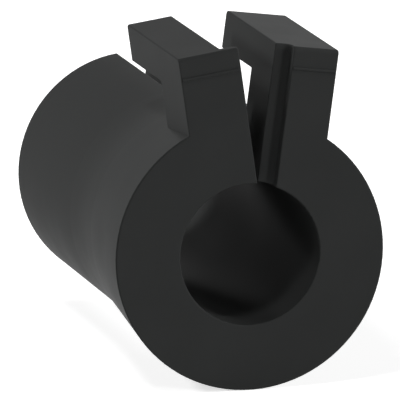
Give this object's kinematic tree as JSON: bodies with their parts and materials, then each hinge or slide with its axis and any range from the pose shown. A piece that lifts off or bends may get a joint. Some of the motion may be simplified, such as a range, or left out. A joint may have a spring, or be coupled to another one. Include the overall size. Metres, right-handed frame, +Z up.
{
  "type": "cable entry grommet",
  "caption": "Black rubber tube that grips a cable, tapering back from a wide front rim, split along its top with hooked ears standing on either side of the slit.",
  "frame": {"origin": "centre of the cable bore on the front face", "axes": "+Y along the bore from the front rim to the back end, +Z up towards the ears, +X to the right seen from the front"},
  "size_m": [0.0192, 0.0318, 0.0242],
  "materials": {
    "rubber": "smooth moulded, satin"
  },
  "bodies": {
    "root": {"grommet": "rubber"}
  },
  "joints": []
}
